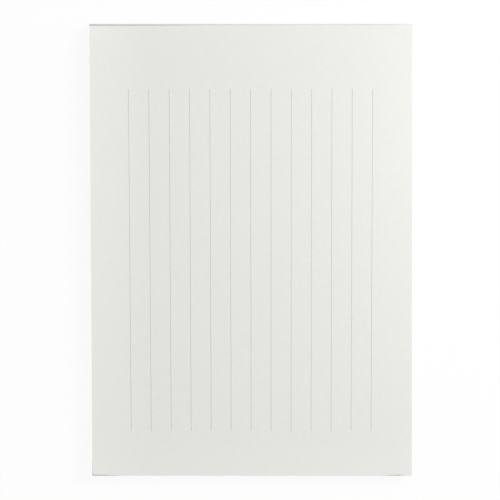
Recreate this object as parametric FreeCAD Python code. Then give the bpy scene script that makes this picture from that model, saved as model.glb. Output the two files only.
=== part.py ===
"""A pad of writing paper, ruled down the page and glued along its head.

The pad lies flat on its back board with the ruled face up. X runs across the page, Y from the free
foot to the glued head, and Z up out of the page. The origin is on the underside, at the middle of
the pad's outline. All sizes are in millimetres.

  sheet_block   the trimmed stack of loose sheets, as one block
  back_board    the stiff grey board under the sheets, cut flush with them
  padding_glue  the film of flexible glue brushed over the head of the sheets and the board
  ruled_lines   the printed upright lines of the top sheet, as strips of ink let into its face
"""

import os

import FreeCAD
import Part

# The sheets
SHEET_WIDTH = 179.0
SHEET_LENGTH = 252.0
SHEET_THICKNESS = 0.1
SHEET_COUNT = 50

# The back board
BOARD_THICKNESS = 0.8

# The glue film on the head
GLUE_THICKNESS = 0.6
GLUE_EDGE_RADIUS = 0.25

# The printed ruling, which leaves a margin on all four sides
COLUMN_COUNT = 12
LINE_WIDTH = 0.25
SIDE_MARGIN = 22.3
HEAD_MARGIN = 35.5
FOOT_MARGIN = 25.5

# Heights and places that follow from the sizes above
BLOCK_THICKNESS = SHEET_COUNT * SHEET_THICKNESS
PAD_THICKNESS = BOARD_THICKNESS + BLOCK_THICKNESS
PAD_LENGTH = SHEET_LENGTH + GLUE_THICKNESS
FOOT_Y = -PAD_LENGTH / 2
HEAD_Y = FOOT_Y + SHEET_LENGTH
COLUMN_WIDTH = (SHEET_WIDTH - 2 * SIDE_MARGIN) / COLUMN_COUNT
LINE_LENGTH = SHEET_LENGTH - HEAD_MARGIN - FOOT_MARGIN
INK_DEPTH = SHEET_THICKNESS


def page_slab(thickness, bottom):
    """A flat slab with the outline of a sheet, from the foot to the head."""
    corner = FreeCAD.Vector(-SHEET_WIDTH / 2, FOOT_Y, bottom)
    return Part.makeBox(SHEET_WIDTH, SHEET_LENGTH, thickness, corner)


def back_board():
    """The board, which the pad lies on."""
    return page_slab(BOARD_THICKNESS, 0.0)


def sheet_block():
    """All the sheets, which lie on the board. The printed lines take their place in the top one."""
    return page_slab(BLOCK_THICKNESS, BOARD_THICKNESS).cut(ruled_lines())


def padding_glue():
    """The film over the head, as high as the pad, with its two long outer edges rounded."""
    left = -SHEET_WIDTH / 2
    outside = HEAD_Y + GLUE_THICKNESS
    radius = min(GLUE_EDGE_RADIUS, 0.9 * GLUE_THICKNESS, 0.45 * PAD_THICKNESS)
    bulge = radius * 0.5**0.5

    def at(y, z):
        return FreeCAD.Vector(left, y, z)

    def rounded_corner(z_edge, up):
        """The arc from the film's flat end face round to its outer face, or back again."""
        centre_y = outside - radius
        centre_z = z_edge - up * radius
        on_end = at(centre_y, z_edge)
        middle = at(centre_y + bulge, centre_z + up * bulge)
        on_outside = at(outside, centre_z)
        return Part.Arc(on_end, middle, on_outside).toShape()

    section = Part.Wire(
        [
            Part.makeLine(at(HEAD_Y, 0.0), at(outside - radius, 0.0)),
            rounded_corner(0.0, -1),
            Part.makeLine(at(outside, radius), at(outside, PAD_THICKNESS - radius)),
            rounded_corner(PAD_THICKNESS, 1),
            Part.makeLine(at(outside - radius, PAD_THICKNESS), at(HEAD_Y, PAD_THICKNESS)),
            Part.makeLine(at(HEAD_Y, PAD_THICKNESS), at(HEAD_Y, 0.0)),
        ]
    )
    return Part.Face(section).extrude(FreeCAD.Vector(SHEET_WIDTH, 0, 0))


def ruled_lines():
    """One upright line on each side of each column, flush with the face of the top sheet.

    Ink soaks into paper, and here it reaches through the top sheet.
    """
    first_x = SIDE_MARGIN - SHEET_WIDTH / 2
    strips = []
    for index in range(COLUMN_COUNT + 1):
        left = first_x + index * COLUMN_WIDTH - LINE_WIDTH / 2
        corner = FreeCAD.Vector(left, FOOT_Y + FOOT_MARGIN, PAD_THICKNESS - INK_DEPTH)
        strips.append(Part.makeBox(LINE_WIDTH, LINE_LENGTH, INK_DEPTH, corner))
    return Part.makeCompound(strips)


def main():
    os.makedirs("parts", exist_ok=True)
    for build in (back_board, sheet_block, padding_glue, ruled_lines):
        shape = build()
        shape.exportStep(os.path.join("parts", build.__name__ + ".step"))
        print(build.__name__, shape.isValid(), round(shape.Volume, 3))


main()
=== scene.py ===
"""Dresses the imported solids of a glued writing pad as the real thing.

The pad is fifty loose sheets on a grey board, held by a brushed film of padding glue along the
head. The top sheet is ruled with thin upright lines. X runs across the page, Y from the free foot
to the glued head, and Z up out of the page, in metres. The pad lies on its board, ruled face up.
"""

import logging
import math
from collections.abc import Callable
from dataclasses import dataclass, field
from enum import Enum

import bmesh
import bpy
import numpy as np
from mathutils import Euler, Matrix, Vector, noise


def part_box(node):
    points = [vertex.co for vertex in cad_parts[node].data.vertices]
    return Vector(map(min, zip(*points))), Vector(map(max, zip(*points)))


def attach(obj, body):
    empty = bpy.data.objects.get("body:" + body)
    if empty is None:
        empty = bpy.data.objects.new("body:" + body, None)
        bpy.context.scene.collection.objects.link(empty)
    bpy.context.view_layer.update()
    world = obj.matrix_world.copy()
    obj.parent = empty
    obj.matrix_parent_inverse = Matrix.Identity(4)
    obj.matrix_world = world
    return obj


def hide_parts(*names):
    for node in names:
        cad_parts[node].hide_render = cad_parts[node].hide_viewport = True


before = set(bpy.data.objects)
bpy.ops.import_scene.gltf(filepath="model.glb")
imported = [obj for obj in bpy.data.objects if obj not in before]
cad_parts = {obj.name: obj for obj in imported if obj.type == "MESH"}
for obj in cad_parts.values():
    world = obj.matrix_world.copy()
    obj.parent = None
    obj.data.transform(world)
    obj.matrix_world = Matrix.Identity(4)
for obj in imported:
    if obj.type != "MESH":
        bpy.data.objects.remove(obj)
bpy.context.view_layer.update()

MM = 0.001
BODY = "root"
# The attribute that says how dark the glue film is along the head; on its right end face it is
# painted shade.
DARKNESS = "darkness"

# How far the cells of a grid are crowded to its edges, where the sheets curl and the cuts show
CROWDING = 0.7

log = logging.getLogger("writing_pad")


class Node(Enum):
    """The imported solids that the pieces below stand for."""

    SHEETS = "sheet_block"
    BOARD = "back_board"
    GLUE = "padding_glue"
    LINES = "ruled_lines"


class Slot(Enum):
    """The record's material slots."""

    PAPER = "paper"
    BOARD = "grey_board"
    GLUE = "glue"
    INK = "ink"


def linear(hex_colour: str) -> tuple[float, float, float, float]:
    """Turn an sRGB hex value into the linear colour that a shader takes.

    Args:
        hex_colour: Six hex digits after a hash, such as "#ECEDE7".

    Returns:
        Red, green, blue and an alpha of one.
    """
    channels = [int(hex_colour[start : start + 2], 16) / 255 for start in (1, 3, 5)]
    red, green, blue = (
        c / 12.92 if c <= 0.04045 else ((c + 0.055) / 1.055) ** 2.4 for c in channels
    )
    return red, green, blue, 1.0


def open_socket(sockets: bpy.types.bpy_prop_collection, name: str) -> bpy.types.NodeSocket:
    """Find the socket of that name which the node's settings leave in use.

    Args:
        sockets: A node's inputs or outputs.
        name: The socket's name or its identifier.

    Returns:
        The first such socket.
    """
    return next(s for s in sockets if s.enabled and name in (s.identifier, s.name))


def add_node(
    tree: bpy.types.NodeTree,
    kind: str,
    inputs: dict[str, object] | None = None,
    **settings: object,
) -> bpy.types.Node:
    """Add one node to a tree, with its settings, values and links.

    Args:
        tree: The node tree that takes the node.
        kind: Blender's name for the node, such as "ShaderNodeBump".
        inputs: Each socket's name with a value, or with an output socket that is linked to it.
        **settings: Properties of the node itself.

    Returns:
        The new node.
    """
    node = tree.nodes.new(kind)
    for name, value in settings.items():
        setattr(node, name, value)
    for name, value in (inputs or {}).items():
        socket = open_socket(node.inputs, name)
        if isinstance(value, bpy.types.NodeSocket):
            tree.links.new(value, socket)
        else:
            socket.default_value = value
    return node


def grain(
    tree: bpy.types.NodeTree,
    period: tuple[float, float, float],
    detail: float = 2.0,
    spread: float = 0.2,
) -> bpy.types.NodeSocket:
    """Lay a soft random pattern in the object's own coordinates.

    Args:
        tree: The material's node tree.
        period: The pattern's size along X, Y and Z, in metres.
        detail: How many finer layers it has.
        spread: How far about its mean the noise runs before it is cut off.

    Returns:
        The socket that carries the pattern, from nought to one.
    """
    place = add_node(tree, "ShaderNodeTexCoord")
    scaled = add_node(
        tree,
        "ShaderNodeMapping",
        {"Vector": place.outputs["Object"], "Scale": tuple(1 / length for length in period)},
    )
    cloud = add_node(
        tree,
        "ShaderNodeTexNoise",
        {"Vector": scaled.outputs["Vector"], "Scale": 1.0, "Detail": detail},
    )
    stretched = add_node(
        tree,
        "ShaderNodeMapRange",
        {"Value": cloud.outputs["Fac"], "From Min": 0.5 - spread, "From Max": 0.5 + spread},
    )
    return stretched.outputs["Result"]


@dataclass(frozen=True)
class Finish:
    """A real material and how its surface was made.

    The roughness is given for its smoothest and for its roughest patches.
    """

    name: str
    light: str
    dark: str
    roughness: tuple[float, float]
    grain_size: tuple[float, float, float]
    relief_size: tuple[float, float, float]
    relief_depth: float
    ior: float = 1.5

    def material(self) -> bpy.types.Material:
        """Make the material, with its pattern, its patches of gloss and its fine relief.

        Returns:
            The new material.
        """
        made = bpy.data.materials.new(self.name)
        made.use_nodes = True
        tree = made.node_tree
        shader = tree.nodes["Principled BSDF"]
        shader.inputs["IOR"].default_value = self.ior
        tree.links.new(self.colour(tree), shader.inputs["Base Color"])
        gloss = add_node(
            tree,
            "ShaderNodeMapRange",
            {
                "Value": grain(tree, self.grain_size),
                "To Min": self.roughness[0],
                "To Max": self.roughness[1],
            },
        )
        tree.links.new(gloss.outputs["Result"], shader.inputs["Roughness"])
        bump = add_node(
            tree,
            "ShaderNodeBump",
            {"Height": self.relief(tree), "Distance": self.relief_depth},
        )
        tree.links.new(bump.outputs["Normal"], shader.inputs["Normal"])
        return made

    def colour(self, tree: bpy.types.NodeTree) -> bpy.types.NodeSocket:
        """Blend the dark colour into the light one, as the surface is lighter."""
        blend = add_node(
            tree,
            "ShaderNodeMix",
            {"Factor": self.lightness(tree), "A": linear(self.dark), "B": linear(self.light)},
            data_type="RGBA",
        )
        return open_socket(blend.outputs, "Result")

    def lightness(self, tree: bpy.types.NodeTree) -> bpy.types.NodeSocket:
        """Say where the surface is of its dark colour, nought, and where of its light one."""
        return grain(tree, self.grain_size)

    def relief(self, tree: bpy.types.NodeTree) -> bpy.types.NodeSocket:
        """Give the height of the fine relief, from nought to one."""
        return grain(tree, self.relief_size)


@dataclass(frozen=True)
class BoardFinish(Finish):
    """A board of mixed waste fibres, with darker flecks here and there."""

    fleck_size: tuple[float, float, float] = (1.6 * MM, 0.5 * MM, 0.3 * MM)
    fleck_start: float = 0.8
    fleck_depth: float = 0.45

    def lightness(self, tree: bpy.types.NodeTree) -> bpy.types.NodeSocket:
        """Darken the board where a fleck lies."""
        flecks = add_node(
            tree,
            "ShaderNodeMapRange",
            {
                "Value": grain(tree, self.fleck_size, detail=1.0),
                "From Min": self.fleck_start,
                "From Max": 1.0,
                "To Min": 0.0,
                "To Max": self.fleck_depth,
            },
        )
        left = add_node(
            tree,
            "ShaderNodeMath",
            {"Value": super().lightness(tree), "Value_001": flecks.outputs["Result"]},
            operation="SUBTRACT",
            use_clamp=True,
        )
        return left.outputs["Value"]


@dataclass(frozen=True)
class GlueFinish(Finish):
    """A brushed, milky film that lets the grey board show, darker where its darkness attribute is
    high; on the right end face that darkening is painted shade.
    """

    behind: str = "#B4B0A6"
    behind_share: float = 0.7
    board_top: float = 0.8 * MM
    board_blur: float = 0.12 * MM
    ridge_size: tuple[float, float, float] = (80 * MM, 2 * MM, 0.22 * MM)
    patchiness: float = 0.3

    def colour(self, tree: bpy.types.NodeTree) -> bpy.types.NodeSocket:
        """Tone the film down where the board is behind it."""
        place = add_node(tree, "ShaderNodeTexCoord")
        axes = add_node(tree, "ShaderNodeSeparateXYZ", {"Vector": place.outputs["Object"]})
        behind = add_node(
            tree,
            "ShaderNodeMapRange",
            {
                "Value": axes.outputs["Z"],
                "From Min": self.board_top - self.board_blur,
                "From Max": self.board_top + self.board_blur,
                "To Min": self.behind_share,
                "To Max": 0.0,
            },
        )
        blend = add_node(
            tree,
            "ShaderNodeMix",
            {
                "Factor": behind.outputs["Result"],
                "A": super().colour(tree),
                "B": linear(self.behind),
            },
            data_type="RGBA",
        )
        return open_socket(blend.outputs, "Result")

    def lightness(self, tree: bpy.types.NodeTree) -> bpy.types.NodeSocket:
        """Lighten the film where the piece's own darkness attribute is low, unevenly. Where it is
        high on the right end face, the darkening is painted shade.
        """
        darkness = add_node(tree, "ShaderNodeAttribute", attribute_name=DARKNESS)
        uneven = add_node(
            tree,
            "ShaderNodeMath",
            {
                "Value": super().lightness(tree),
                "Value_001": self.patchiness,
                "Value_002": 1 - self.patchiness / 2,
            },
            operation="MULTIPLY_ADD",
        )
        patchy = add_node(
            tree,
            "ShaderNodeMath",
            {"Value": darkness.outputs["Fac"], "Value_001": uneven.outputs["Value"]},
            operation="MULTIPLY",
        )
        thin = add_node(
            tree,
            "ShaderNodeMath",
            {"Value": 1.0, "Value_001": patchy.outputs["Value"]},
            operation="SUBTRACT",
            use_clamp=True,
        )
        return thin.outputs["Value"]

    def relief(self, tree: bpy.types.NodeTree) -> bpy.types.NodeSocket:
        """Let the sheets' edges show through the brush marks."""
        both = add_node(
            tree,
            "ShaderNodeMath",
            {"Value": super().relief(tree), "Value_001": grain(tree, self.ridge_size)},
            operation="ADD",
        )
        return both.outputs["Value"]


# Uncoated woodfree paper, pressed smooth: dull and even, with a cloudy formation that the eye
# only just makes out. The real tooth is near 0.1 mm, and is drawn at 0.4 mm so that it shows.
PAPER_FACE = Finish(
    name="woodfree_paper_calendered",
    light="#EDEEE9",
    dark="#EBECE7",
    roughness=(0.78, 0.86),
    grain_size=(2.5 * MM, 2.5 * MM, 2.5 * MM),
    relief_size=(0.4 * MM, 0.4 * MM, 0.4 * MM),
    relief_depth=0.006 * MM,
)

# The same paper where the guillotine cut the stack, greyer than the faces and in darker streaks
# along the sheets: painted shade for the fine shadows between the cut sheets. The sheets are
# 0.1 mm apart, and the streaks are drawn 0.25 mm apart so that they show.
PAPER_CUT_PAINTED_SHADE = Finish(
    name="woodfree_paper_guillotined_painted_shade",
    light="#DDDED8",
    dark="#C9CAC2",
    roughness=(0.9, 1.0),
    grain_size=(30 * MM, 30 * MM, 0.25 * MM),
    relief_size=(12 * MM, 12 * MM, 0.2 * MM),
    relief_depth=0.02 * MM,
)

# Grey board pressed from waste paper: light grey-brown, flecked with darker and paler fibres.
GREY_BOARD = BoardFinish(
    name="grey_board_pressed",
    light="#C6C2B8",
    dark="#A9A498",
    roughness=(0.88, 1.0),
    grain_size=(0.9 * MM, 0.9 * MM, 0.3 * MM),
    relief_size=(0.5 * MM, 0.5 * MM, 0.15 * MM),
    relief_depth=0.03 * MM,
)

# Padding glue, a dried PVA film: milky, slightly soft in its shine, with brush marks along it.
PADDING_GLUE = GlueFinish(
    name="padding_glue_brushed",
    light="#ECEDE8",
    dark="#C8C9C8",
    roughness=(0.3, 0.5),
    grain_size=(9 * MM, 3 * MM, 0.9 * MM),
    relief_size=(9 * MM, 0.6 * MM, 0.6 * MM),
    relief_depth=0.04 * MM,
    ior=1.47,
)

# Pale grey offset ink, which dries flat into the sheet and lies a little unevenly along a line.
PRINTED_INK = Finish(
    name="offset_ink_printed",
    light="#C7C8C3",
    dark="#BBBCB7",
    roughness=(0.75, 0.85),
    grain_size=(1.5 * MM, 1.5 * MM, 1.5 * MM),
    relief_size=(0.3 * MM, 0.3 * MM, 0.3 * MM),
    relief_depth=0.004 * MM,
)


def select_only(piece: bpy.types.Object) -> None:
    """Make a piece the only one that is selected, and the active one."""
    bpy.ops.object.select_all(action="DESELECT")
    piece.select_set(True)
    bpy.context.view_layer.objects.active = piece


def points_of(piece: bpy.types.Object) -> np.ndarray:
    """Read a piece's vertices.

    Args:
        piece: A mesh object.

    Returns:
        One row of X, Y and Z for each vertex.
    """
    flat = np.empty(len(piece.data.vertices) * 3)
    piece.data.vertices.foreach_get("co", flat)
    return flat.reshape(-1, 3)


def move_points(piece: bpy.types.Object, points: np.ndarray) -> None:
    """Put a piece's vertices at new places."""
    piece.data.vertices.foreach_set("co", points.ravel())
    piece.data.update()


def apply_modifier(piece: bpy.types.Object, kind: str, **settings: object) -> None:
    """Run a piece through one modifier and keep the result.

    Args:
        piece: A mesh object.
        kind: Blender's name for the modifier, such as "SOLIDIFY".
        **settings: Properties of the modifier.
    """
    select_only(piece)
    modifier = piece.modifiers.new(kind.title(), kind)
    for name, value in settings.items():
        setattr(modifier, name, value)
    bpy.ops.object.modifier_apply(modifier=modifier.name)


def select_edges(piece: bpy.types.Object, wanted: Callable[[Vector, Vector], bool]) -> None:
    """In edit mode, select just the edges that pass a test.

    Args:
        piece: The object in edit mode.
        wanted: Says from an edge's two ends whether it is selected.
    """
    bpy.ops.mesh.select_all(action="DESELECT")
    bpy.ops.mesh.select_mode(type="EDGE")
    edit = bmesh.from_edit_mesh(piece.data)
    for edge in edit.edges:
        edge.select_set(wanted(edge.verts[0].co, edge.verts[1].co))
    bmesh.update_edit_mesh(piece.data)


def crowd_to_ends(values: np.ndarray, share: float) -> np.ndarray:
    """Move evenly spaced values closer together towards both ends of their span.

    Args:
        values: The values, which keep their lowest and highest.
        share: Nought leaves them even, and one crowds them fully.

    Returns:
        The values in the same order.
    """
    middle = (values.min() + values.max()) / 2
    half = (values.max() - values.min()) / 2
    even = (values - middle) / half
    return middle + half * ((1 - share) * even + share * np.sin(even * math.pi / 2))


def fading(distance: np.ndarray, reach: float) -> np.ndarray:
    """One at an edge, falling ever more gently to nought at its reach."""
    return np.clip(1 - distance / reach, 0, 1) ** 2


def page_grid(name: str, box: tuple[Vector, Vector], columns: int, rows: int) -> bpy.types.Object:
    """Lay a flat grid over a solid's outline, with its cells crowded to the edges.

    Args:
        name: The new object's name.
        box: The solid's lowest and highest corners.
        columns: Cells across the page.
        rows: Cells up the page.

    Returns:
        The grid, at height nought.
    """
    low, high = box
    bpy.ops.object.select_all(action="DESELECT")
    bpy.ops.mesh.primitive_grid_add(x_subdivisions=columns, y_subdivisions=rows, size=1)
    grid = bpy.context.object
    grid.name = name
    grid.data.name = name
    bpy.ops.object.mode_set(mode="EDIT")
    bpy.ops.transform.resize(value=(high.x - low.x, high.y - low.y, 1))
    bpy.ops.transform.translate(value=((high.x + low.x) / 2, (high.y + low.y) / 2, 0))
    bpy.ops.object.mode_set(mode="OBJECT")
    points = points_of(grid)
    for axis in (0, 1):
        points[:, axis] = crowd_to_ends(points[:, axis], CROWDING)
    move_points(grid, points)
    return grid


def smooth(piece: bpy.types.Object, crease: float) -> None:
    """Shade a piece smooth, apart from its creases.

    Args:
        piece: A mesh object.
        crease: The smallest angle between faces that stays sharp, in degrees.
    """
    select_only(piece)
    bpy.ops.object.shade_smooth_by_angle(angle=math.radians(crease))


def copies(pattern: bpy.types.Object, count: int) -> list[bpy.types.Object]:
    """Copy a piece, each copy with a mesh of its own.

    Args:
        pattern: The piece to copy.
        count: How many copies to make.

    Returns:
        The copies, without the pattern.
    """
    made = []
    for _ in range(count):
        copy = pattern.copy()
        copy.data = pattern.data.copy()
        bpy.context.collection.objects.link(copy)
        made.append(copy)
    return made


def join(pieces: list[bpy.types.Object]) -> None:
    """Join pieces into the first of them."""
    select_only(pieces[0])
    for piece in pieces:
        piece.select_set(True)
    if len(pieces) > 1:
        bpy.ops.object.join()


def dress(piece: bpy.types.Object, slot: Slot, *nodes: Node) -> None:
    """Tie a finished piece to the frame: it rides on the pad and stands for its solids.

    Args:
        piece: The finished piece.
        slot: The record's material slot; not used.
        *nodes: The solids that it replaces.
    """
    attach(piece, BODY)
    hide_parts(*(node.value for node in nodes))
    log.info("%s: %d faces", piece.name, len(piece.data.polygons))


@dataclass(frozen=True)
class Relief:
    """How far the loose sheets stand up from where they would lie if pressed flat.

    The glue holds them down at the head. From there they rise a little, and their free edges curl.
    The left edge curls less at the foot, given first, than at the head.
    """

    box: tuple[Vector, Vector] = field(default_factory=lambda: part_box(Node.SHEETS.value))
    head_rise: float = 0.65 * MM
    head_reach: float = 22 * MM
    right_fall: float = 0.6
    right_reach: float = 34 * MM
    left_curl: tuple[float, float] = (1.8 * MM, 2.9 * MM)
    left_reach: float = 32.5 * MM
    hold_reach: float = 8 * MM
    foot_curl: float = 0.9 * MM
    foot_reach: float = 20 * MM
    left_corner_lift: float = 0.1 * MM
    left_corner_reach: float = 30 * MM
    right_corner_lift: float = 0.3 * MM
    right_corner_reach: float = 22 * MM
    wave_height: float = 0.04 * MM
    wave_length: float = 95 * MM
    wave_start: float = 1.0
    curl_gather: float = 2.5

    def height(self, x: np.ndarray, y: np.ndarray, looseness: float) -> np.ndarray:
        """Give the rise of one sheet.

        Args:
            x: Places across the page.
            y: Places up the page.
            looseness: Nought for the lowest sheet and one for the top one.

        Returns:
            The rise at each place, in metres.
        """
        low, high = self.box
        from_left, from_right = x - low.x, high.x - x
        from_foot, from_head = y - low.y, high.y - y
        free = 1 - fading(from_head, self.hold_reach)
        turns = 2 * math.pi / self.wave_length
        waves = 1 + np.sin(turns * x + self.wave_start) * np.cos(turns * y)
        puff = self.head_rise * (1 - fading(from_head, self.head_reach))
        puff = puff * (1 - self.right_fall * fading(from_right, self.right_reach))
        left_corner = np.hypot(from_left, from_foot)
        right_corner = np.hypot(from_right, from_foot)
        left_curl = np.interp(y, (low.y, high.y), self.left_curl)
        curl = (
            left_curl * fading(from_left, self.left_reach)
            + self.foot_curl * fading(from_foot, self.foot_reach)
            + self.left_corner_lift * fading(left_corner, self.left_corner_reach)
            + self.right_corner_lift * fading(right_corner, self.right_corner_reach)
        )
        even = (puff + self.wave_height * waves * free) * looseness
        return even + curl * free * looseness**self.curl_gather


@dataclass(frozen=True)
class FootDents:
    """Where the topmost sheets are knocked in at the foot, so that the ones below show.

    The knocks are given at a few places along the foot, from the left, as how far in they go, and
    the bulges as how far the sheets below stand out there. Sheets up to the lowest looseness are
    not knocked in, and those looser by the ramp or more are knocked in all the way.
    """

    box: tuple[Vector, Vector] = field(default_factory=lambda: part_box(Node.SHEETS.value))
    knocks: tuple[tuple[float, float], ...] = (
        (-89.5 * MM, 0.70 * MM),
        (-84.5 * MM, 0.66 * MM),
        (-82.0 * MM, 0.50 * MM),
        (-77.5 * MM, 0.36 * MM),
        (-74.5 * MM, 0.26 * MM),
        (-70.0 * MM, 0.0),
        (70.0 * MM, 0.0),
        (74.0 * MM, 0.22 * MM),
        (78.0 * MM, 0.36 * MM),
        (81.0 * MM, 0.46 * MM),
        (83.0 * MM, 0.50 * MM),
        (84.3 * MM, 0.0),
    )
    bulges: tuple[tuple[float, float], ...] = (
        (72.0 * MM, 0.0),
        (77.0 * MM, 0.10 * MM),
        (83.0 * MM, 0.16 * MM),
        (86.0 * MM, 0.0),
    )
    side_knock: float = 0.37 * MM
    reach: float = 12 * MM
    lowest: float = 0.90
    ramp: float = 0.06

    def push(
        self, x: np.ndarray, y: np.ndarray, looseness: float
    ) -> tuple[np.ndarray, np.ndarray]:
        """Give how far each place of one sheet is pushed in.

        Args:
            x: Places across the page.
            y: Places up the page.
            looseness: Nought for the lowest sheet and one for the top one.

        Returns:
            The push along X and the push along Y, in metres.
        """
        low = self.box[0]
        share = min(1.0, max(0.0, (looseness - self.lowest) / self.ramp))
        near_foot = np.clip(1 - (y - low.y) / self.reach, 0, 1)
        near_left = np.clip(1 - (x - low.x) / self.reach, 0, 1)
        knock = np.interp(x, *zip(*self.knocks))
        bulge = np.interp(x, *zip(*self.bulges))
        across = share * self.side_knock * near_left
        up = share * knock - (1 - share) * bulge
        return across * near_foot, up * near_foot


@dataclass
class SheetStack:
    """The loose sheets, each a thin leaf of its own.

    The top one is a piece of its own. The few below it are cut more finely than the rest, because
    their edges show. Each sheet's foot strays a little, and swings to the right with the others.
    """

    relief: Relief
    dents: FootDents
    count: int = 50
    fill: float = 0.94
    fine_cells: tuple[int, int] = (56, 80)
    medium_cells: tuple[int, int] = (56, 40)
    coarse_cells: tuple[int, int] = (22, 30)
    upper_count: int = 8
    sway: float = 0.05 * MM
    strays: int = 6
    stray_sway: float = 0.18 * MM
    foot_slant: float = 0.25 * MM
    swing: tuple[float, float] = (0.25 * MM, 0.66 * MM)
    seed: int = 7
    crease: float = 30.0
    box: tuple[Vector, Vector] = field(default_factory=lambda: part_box(Node.SHEETS.value))

    @property
    def pitch(self) -> float:
        """The height that one sheet takes up in the stack."""
        return (self.box[1].z - self.box[0].z) / self.count

    def freedom(self, y: np.ndarray) -> np.ndarray:
        """Nought at the glued head, where a sheet cannot swing, and one at its foot."""
        low, high = self.box
        return (high.y - y) / (high.y - low.y)

    def surface(self, x: np.ndarray, y: np.ndarray) -> np.ndarray:
        """Give the height of the top sheet's upper face, with its stray and its swing."""
        gap = self.pitch * (1 - self.fill) / 2
        across, up = self.offsets()[-1]
        free = self.freedom(y)
        rise = self.relief.height(x - across * free, y - up * free, 1.0)
        return self.box[1].z - gap + rise

    def flat_leaf(self, name: str, cells: tuple[int, int]) -> bpy.types.Object:
        """Make one sheet, flat and at height nought, with its cut edges told from its faces.

        Args:
            name: The new object's name.
            cells: How many cells it has across and up the page.

        Returns:
            The leaf.
        """
        leaf = page_grid(name, self.box, *cells)
        apply_modifier(leaf, "SOLIDIFY", thickness=self.pitch * self.fill, offset=0)
        leaf.data.materials.append(PAPER_FACE.material())
        # The cut edges take the greyer copy of the paper: painted shade between the sheets.
        leaf.data.materials.append(PAPER_CUT_PAINTED_SHADE.material())
        for face in leaf.data.polygons:
            face.material_index = int(abs(face.normal.z) < 0.5)
        return leaf

    def offsets(self) -> np.ndarray:
        """Say how far each sheet's free foot has strayed, and swung to the right with the rest.

        The swing grows from the lowest sheet to the top one.

        Returns:
            One row of sideways and upward stray for each sheet, lowest first.
        """
        random = np.random.default_rng(self.seed)
        stray = random.normal(0, self.sway, (self.count, 2))
        far = random.choice(self.count, self.strays, replace=False)
        stray[far] += random.uniform(-self.stray_sway, self.stray_sway, (self.strays, 2))
        slant = np.linspace(0, self.foot_slant, self.count)
        swing = np.linspace(*self.swing, self.count)
        return np.column_stack([stray[:, 0] + swing, np.abs(stray[:, 1]) + slant])

    def settle(self, leaf: bpy.types.Object, index: int, stray: np.ndarray) -> None:
        """Put a flat leaf where it lies in the stack.

        Args:
            leaf: The leaf, flat and at height nought.
            index: Its place, counted from the board.
            stray: How far its foot has strayed, along X and Y.
        """
        looseness = index / (self.count - 1)
        points = points_of(leaf)
        x, y = points[:, 0].copy(), points[:, 1].copy()
        across, up = self.dents.push(x, y, looseness)
        free = self.freedom(y)
        points[:, 0] += across + stray[0] * free
        points[:, 1] += up + stray[1] * free
        points[:, 2] += self.box[0].z + self.pitch * (index + 0.5)
        points[:, 2] += self.relief.height(x, y, looseness)
        move_points(leaf, points)

    def band(self, name: str, cells: tuple[int, int], indices: range) -> None:
        """Build some of the sheets as one piece.

        Args:
            name: The piece's name.
            cells: How finely each sheet is cut.
            indices: The places of its sheets, counted from the board.
        """
        strays = self.offsets()
        pattern = self.flat_leaf(name, cells)
        leaves = [pattern] + copies(pattern, len(indices) - 1)
        for leaf, index in zip(leaves, indices):
            self.settle(leaf, index, strays[index])
        join(leaves)
        smooth(pattern, self.crease)
        dress(pattern, Slot.PAPER, Node.SHEETS)

    def build(self) -> None:
        """Build all the sheets, from the top one down."""
        top = self.count - 1
        upper = top - self.upper_count
        self.band("top_sheet", self.fine_cells, range(top, self.count))
        self.band("upper_sheets", self.medium_cells, range(upper, top))
        self.band("lower_sheets", self.coarse_cells, range(0, upper))


@dataclass
class BackBoard:
    """The stiff board under the sheets, with edges a little soft from the cutting."""

    columns: int = 60
    rows: int = 84
    edge_softness: float = 0.07 * MM
    edge_raggedness: float = 0.05 * MM
    fibre_length: float = 3 * MM
    bevelled: float = 60.0
    crease: float = 35.0
    box: tuple[Vector, Vector] = field(default_factory=lambda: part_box(Node.BOARD.value))

    def build(self) -> None:
        """Build the board where its solid is."""
        low, high = self.box
        board = page_grid("grey_board", self.box, self.columns, self.rows)
        apply_modifier(board, "SOLIDIFY", thickness=high.z - low.z, offset=0)
        apply_modifier(
            board,
            "BEVEL",
            width=self.edge_softness,
            segments=2,
            limit_method="ANGLE",
            angle_limit=math.radians(self.bevelled),
        )
        points = points_of(board)
        points[:, 2] += (low.z + high.z) / 2
        for point in points:
            ragged = noise.noise_vector(Vector(point) / self.fibre_length)
            inwards = self.edge_raggedness * (1 + ragged.x) / 2
            for axis in (0, 1):
                from_edge = min(point[axis] - low[axis], high[axis] - point[axis])
                if from_edge < 2 * self.edge_softness:
                    point[axis] -= math.copysign(inwards, point[axis])
        move_points(board, points)
        board.data.materials.append(GREY_BOARD.material())
        smooth(board, self.crease)
        dress(board, Slot.BOARD, Node.BOARD)


@dataclass(frozen=True)
class Brushing:
    """How dark the glue is, and how far it laps, at one place along the head."""

    place: float
    darkness: float
    lap: float


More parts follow.
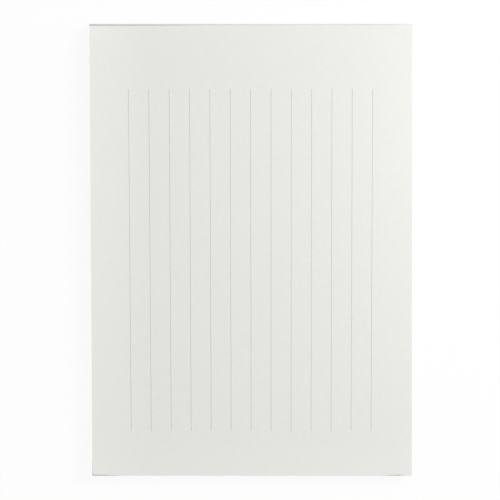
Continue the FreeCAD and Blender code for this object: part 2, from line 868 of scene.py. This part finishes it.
@dataclass
class GlueFilm:
    """The padding glue brushed over the head, which laps a little onto the top sheet.

    The film is darkest at the left and paler from the middle on, and its right end face is
    darkened as painted shade. Each darkness is a share of the darkest one, and the lip laps
    furthest at the left. The lip thins to its rim, the ripples calm down towards the top, and the
    bead at the left end is thinner at its foot. Two rows of the noise fray the rim and ripple the
    film.
    """

    stack: SheetStack
    brushing: tuple[Brushing, ...] = (
        Brushing(-89.5 * MM, 1.0, 0.55 * MM),
        Brushing(-84 * MM, 0.78, 0.55 * MM),
        Brushing(-56 * MM, 0.75, 0.52 * MM),
        Brushing(-42 * MM, 0.58, 0.42 * MM),
        Brushing(-24 * MM, 0.46, 0.15 * MM),
        Brushing(0.0, 0.36, 0.20 * MM),
        Brushing(33 * MM, 0.25, 0.12 * MM),
        Brushing(66 * MM, 0.40, 0.30 * MM),
        Brushing(80 * MM, 0.36, 0.25 * MM),
        Brushing(87 * MM, 0.03, 0.10 * MM),
        Brushing(88.9 * MM, 0.03, 0.10 * MM),
        # Painted shade: the darkness on the right end face.
        Brushing(89.5 * MM, 0.60, 0.10 * MM),
    )
    widest_lap: float = 0.6 * MM
    skin: float = 0.04 * MM
    outer_radius: float = 0.26 * MM
    cuts_along: int = 16
    cuts_up: int = 14
    ripple: float = 0.12 * MM
    ripple_size: tuple[float, float] = (7 * MM, 1.8 * MM)
    frayed_length: float = 2 * MM
    frayed_share: float = 0.3
    left_bead: float = 0.42 * MM
    bead_reach: float = 1 * MM
    bead_foot: float = 0.4
    calm_top: float = 0.7
    fray_row: float = 0.5
    ripple_row: float = 2.5
    rim_share: float = 0.1
    crease: float = 50.0
    box: tuple[Vector, Vector] = field(default_factory=lambda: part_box(Node.GLUE.value))

    def blank(self) -> bpy.types.Object:
        """Model the film as an even bar with a lip over the top sheet.

        Returns:
            The bar, cut finely enough to be shaped.
        """
        low, high = self.box
        middle = (low + high) / 2
        page = high.z
        top = page + self.skin
        bpy.ops.object.select_all(action="DESELECT")
        bpy.ops.mesh.primitive_cube_add(size=1)
        film = bpy.context.object
        film.name = "padding_glue_film"
        film.data.name = film.name
        bpy.ops.object.mode_set(mode="EDIT")
        bpy.ops.transform.resize(value=(high.x - low.x, high.y - low.y, top - low.z))
        bpy.ops.transform.translate(value=(middle.x, middle.y, (low.z + top) / 2))
        outer = high.y - 0.1 * self.skin
        half_length = (high.x - low.x) / 2
        select_edges(
            film, lambda a, b: min(a.y, b.y) > outer and abs(a.x - b.x) > half_length
        )
        bpy.ops.mesh.bevel(offset=self.outer_radius, segments=5)
        bpy.ops.mesh.select_all(action="SELECT")
        bpy.ops.mesh.bisect(
            plane_co=(0, 0, page), plane_no=(0, 0, 1), threshold=0.01 * self.skin
        )
        self.pull_lip(film, page)
        for shortest in (half_length, half_length / (self.cuts_along + 1)):
            select_edges(film, lambda a, b: abs(a.x - b.x) > shortest)
            bpy.ops.mesh.subdivide(number_cuts=self.cuts_along)
        select_edges(film, lambda a, b: abs(a.z - b.z) > (high.z - low.z) / 2)
        bpy.ops.mesh.subdivide(number_cuts=self.cuts_up)
        bpy.ops.object.mode_set(mode="OBJECT")
        return film

    def pull_lip(self, film: bpy.types.Object, page: float) -> None:
        """Extrude the lip from the bar's inner face, above the page.

        Args:
            film: The bar in edit mode, cut at the page's height.
            page: The height of the top sheet at the head.
        """
        bpy.ops.mesh.select_all(action="DESELECT")
        bpy.ops.mesh.select_mode(type="FACE")
        edit = bmesh.from_edit_mesh(film.data)
        for face in edit.faces:
            face.select_set(face.normal.y < -0.5 and face.calc_center_median().z > page)
        bmesh.update_edit_mesh(film.data)
        bpy.ops.mesh.extrude_region_move(
            TRANSFORM_OT_translate={"value": (0, -self.widest_lap, 0)}
        )

    def seat_lip(self, points: np.ndarray, lap: np.ndarray) -> None:
        """Lay the lip on the top sheet, tapered to nothing at a frayed inner edge.

        Args:
            points: The bar's vertices, which are moved.
            lap: How far the glue laps at each of them.
        """
        low, high = self.box
        head, page = low.y, high.z
        is_inner = points[:, 1] < head + self.skin
        is_rim = points[:, 1] < head - self.widest_lap / 2
        is_upper = points[:, 2] > page + self.skin / 2
        for index in np.flatnonzero(is_rim):
            along = points[index, 0] / self.frayed_length
            fray = noise.noise(Vector((along, self.fray_row, self.fray_row)))
            points[index, 1] = head - lap[index] * (1 + self.frayed_share * fray)
        on_page = is_inner & (points[:, 2] > page - self.skin / 2)
        surface = self.stack.surface(points[:, 0], points[:, 1])
        rise = np.where(is_upper, np.where(is_rim, self.rim_share, 1.0), -1.0) * self.skin
        points[on_page, 2] = (surface + rise)[on_page]

    def shape(self, film: bpy.types.Object) -> None:
        """Brush the even bar uneven, and keep its darkness as an attribute, which on the right end
        face is painted shade.
        """
        low, high = self.box
        points = points_of(film)
        places = [at.place for at in self.brushing]
        darkness = np.interp(points[:, 0], places, [at.darkness for at in self.brushing])
        lap = np.interp(points[:, 0], places, [at.lap for at in self.brushing])
        from_left = points[:, 0] - low.x
        up = points[:, 2] / high.z
        is_outer = points[:, 1] > (low.y + high.y) / 2
        for index in np.flatnonzero(is_outer):
            along = points[index, 0] / self.ripple_size[0]
            level = points[index, 2] / self.ripple_size[1]
            wave = 0.5 + 0.5 * noise.noise(Vector((along, self.ripple_row, level)))
            points[index, 1] -= self.ripple * wave * (1 - self.calm_top * up[index] ** 4)
        self.seat_lip(points, lap)
        bead = self.left_bead * (self.bead_foot + (1 - self.bead_foot) * up)
        points[:, 0] -= bead * np.clip(1 - from_left / self.bead_reach, 0, 1) ** 2
        move_points(film, points)
        attribute = film.data.attributes.new(DARKNESS, "FLOAT", "POINT")
        attribute.data.foreach_set("value", darkness.astype(np.float32))

    def build(self) -> None:
        """Build the film over the head."""
        film = self.blank()
        self.shape(film)
        film.data.materials.append(PADDING_GLUE.material())
        smooth(film, self.crease)
        dress(film, Slot.GLUE, Node.GLUE)


@dataclass
class Ruling:
    """The printed upright lines, as strips of ink that follow the top sheet.

    The print is a little off: towards the head the lines fan out and lean to the left.
    """

    stack: SheetStack
    count: int = 13
    width: float = 0.25 * MM
    film: float = 0.018 * MM
    steps: int = 90
    fan: float = 0.71 * MM
    lean: float = 0.29 * MM
    box: tuple[Vector, Vector] = field(default_factory=lambda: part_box(Node.LINES.value))

    def build(self) -> None:
        """Build all the lines as one piece."""
        low, high = self.box
        strip_box = (Vector((low.x, low.y, 0)), Vector((low.x + self.width, high.y, 0)))
        first = page_grid("printed_lines", strip_box, 1, self.steps)
        apply_modifier(first, "SOLIDIFY", thickness=self.film, offset=0)
        first.data.materials.append(PRINTED_INK.material())
        pitch = (high.x - low.x - self.width) / (self.count - 1)
        lines = [first] + copies(first, self.count - 1)
        for index, line in enumerate(lines):
            points = points_of(line)
            up = (points[:, 1] - low.y) / (high.y - low.y)
            sideways = 2 * index / (self.count - 1) - 1
            points[:, 0] += index * pitch + up * (self.fan * sideways - self.lean)
            points[:, 2] += self.film / 2 + self.stack.surface(points[:, 0], points[:, 1])
            move_points(line, points)
        join(lines)
        dress(first, Slot.INK, Node.LINES)


@dataclass(frozen=True)
class Lamp:
    """A square soft light, aimed at the pad."""

    name: str
    place: tuple[float, float, float]
    side: float
    watts: float

    def hang(self) -> None:
        """Put the lamp up."""
        bpy.ops.object.light_add(type="AREA", location=self.place)
        lamp = bpy.context.object
        lamp.name = self.name
        lamp.data.size = self.side
        lamp.data.energy = self.watts
        lamp.visible_camera = False
        lamp.rotation_euler = Vector(self.place).to_track_quat("Z", "Y").to_euler()


@dataclass
class Studio:
    """A pale table under soft light, and the camera that looks straight down on the page."""

    key: Lamp = Lamp("key_light", (1.58, 0.87, 1.40), 0.9, 26.3)
    near: Lamp = Lamp("near_light", (0.242, 0.10, 0.10), 0.2, 0.125)
    sky: float = 0.581
    table_colour: str = "#FCFCFA"
    table_side: float = 8.0
    table_drop: float = 0.02 * MM
    shadow_share: float = 0.1
    camera_place: tuple[float, float, float] = (0.00237, 0.04554, 1.001)
    camera_tilt: tuple[float, float, float] = (-2.587, 0.172, -0.009)
    lens: float = 128.42
    sensor: float = 36.0
    near_clip: float = 10 * MM

    def seen_straight(self, tree: bpy.types.NodeTree) -> bpy.types.NodeSocket:
        """Tell camera, mirror and see-through rays, one, from light that falls, nought."""
        path = add_node(tree, "ShaderNodeLightPath")
        bright = path.outputs["Is Camera Ray"]
        for name in ("Is Glossy Ray", "Is Transmission Ray"):
            either = add_node(
                tree,
                "ShaderNodeMath",
                {"Value": bright, "Value_001": path.outputs[name]},
                operation="MAXIMUM",
            )
            bright = either.outputs["Value"]
        return bright

    def lay_table(self) -> None:
        """Lay the table, which looks white and keeps a faint shadow of the pad."""
        bpy.ops.mesh.primitive_plane_add(size=self.table_side, location=(0, 0, -self.table_drop))
        table = bpy.context.object
        table.name = "table"
        material = bpy.data.materials.new("white_table")
        material.use_nodes = True
        tree = material.node_tree
        shader = tree.nodes["Principled BSDF"]
        shader.inputs["Base Color"].default_value = linear(self.table_colour)
        shader.inputs["Roughness"].default_value = 1.0
        shader.inputs["Specular IOR Level"].default_value = 0.0
        white = add_node(tree, "ShaderNodeEmission", {"Strength": 1.0})
        share = add_node(
            tree,
            "ShaderNodeMath",
            {"Value": self.seen_straight(tree), "Value_001": 1 - self.shadow_share},
            operation="MULTIPLY",
        )
        mix = add_node(
            tree,
            "ShaderNodeMixShader",
            {
                "Fac": share.outputs["Value"],
                "Shader": shader.outputs["BSDF"],
                "Shader_001": white.outputs["Emission"],
            },
        )
        output = tree.nodes["Material Output"]
        tree.links.new(mix.outputs["Shader"], output.inputs["Surface"])
        table.data.materials.append(material)

    def light(self) -> None:
        """Set the even light of the room and hang the lamps."""
        world = bpy.data.worlds.new("room")
        world.use_nodes = True
        bpy.context.scene.world = world
        tree = world.node_tree
        strength = add_node(
            tree,
            "ShaderNodeMapRange",
            {"Value": self.seen_straight(tree), "To Min": self.sky, "To Max": 1.0},
        )
        background = tree.nodes["Background"]
        background.inputs["Color"].default_value = (1, 1, 1, 1)
        tree.links.new(strength.outputs["Result"], background.inputs["Strength"])
        self.key.hang()
        self.near.hang()

    def place_camera(self) -> None:
        """Put the camera where the photograph was taken from."""
        tilt = Euler([math.radians(angle) for angle in self.camera_tilt])
        bpy.ops.object.camera_add(location=self.camera_place, rotation=tilt)
        camera = bpy.context.object
        camera.data.lens = self.lens
        camera.data.sensor_width = self.sensor
        camera.data.clip_start = self.near_clip
        bpy.context.scene.camera = camera

    def build(self) -> None:
        """Lay the table, light it and place the camera."""
        self.lay_table()
        self.light()
        self.place_camera()
        bpy.context.scene.view_settings.view_transform = "Standard"


def main() -> None:
    """Build the pad and its surroundings, and report each piece."""
    logging.basicConfig(level=logging.INFO, format="%(name)s: %(message)s")
    stack = SheetStack(Relief(), FootDents())
    stack.build()
    BackBoard().build()
    GlueFilm(stack).build()
    Ruling(stack).build()
    Studio().build()


if __name__ == "__main__":
    main()
